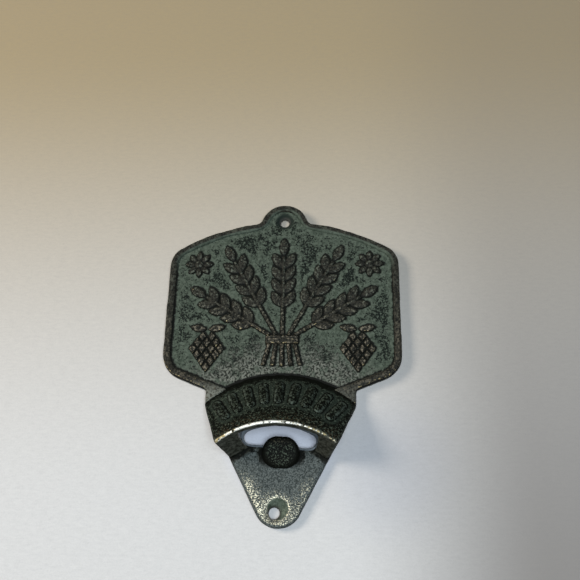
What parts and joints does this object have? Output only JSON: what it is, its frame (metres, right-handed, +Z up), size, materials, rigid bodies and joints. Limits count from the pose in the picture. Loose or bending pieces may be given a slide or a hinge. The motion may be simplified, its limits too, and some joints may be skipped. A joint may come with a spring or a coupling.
{
  "type": "wall-mounted bottle opener",
  "caption": "Cast iron wall bottle opener: sign-shaped plate with rim, arched hood over a slot, cap tooth, tapered tail and countersunk screw holes, with raised barley and hop ornament.",
  "frame": {"origin": "centre of the upper screw hole, on the back face that lies on the wall", "axes": "+Z up the wall, along the height; +X to the right as seen from the front; +Y into the wall, so the front faces -Y"},
  "size_m": [0.0822, 0.022, 0.1151],
  "materials": {
    "green_iron": "green paint rubbed back over cast iron, speckled",
    "rubbed_bronze": "dark bronze paint, rubbed on the high edges",
    "dark_iron": "dark gunmetal with worn brassy edges"
  },
  "bodies": {
    "root": {"back_plate": "green_iron", "raised_rim": "rubbed_bronze", "hood": "dark_iron", "cap_tooth": "dark_iron", "hood_lobes": "dark_iron", "barley_ear_far_left": "rubbed_bronze", "barley_ear_left": "rubbed_bronze", "barley_ear_middle": "rubbed_bronze", "barley_ear_right": "rubbed_bronze", "barley_ear_far_right": "rubbed_bronze", "sheaf_straw": "rubbed_bronze", "sheaf_tie": "rubbed_bronze", "hop_cone_left": "rubbed_bronze", "hop_cone_right": "rubbed_bronze", "rosette_left": "rubbed_bronze", "rosette_right": "rubbed_bronze"}
  },
  "joints": []
}
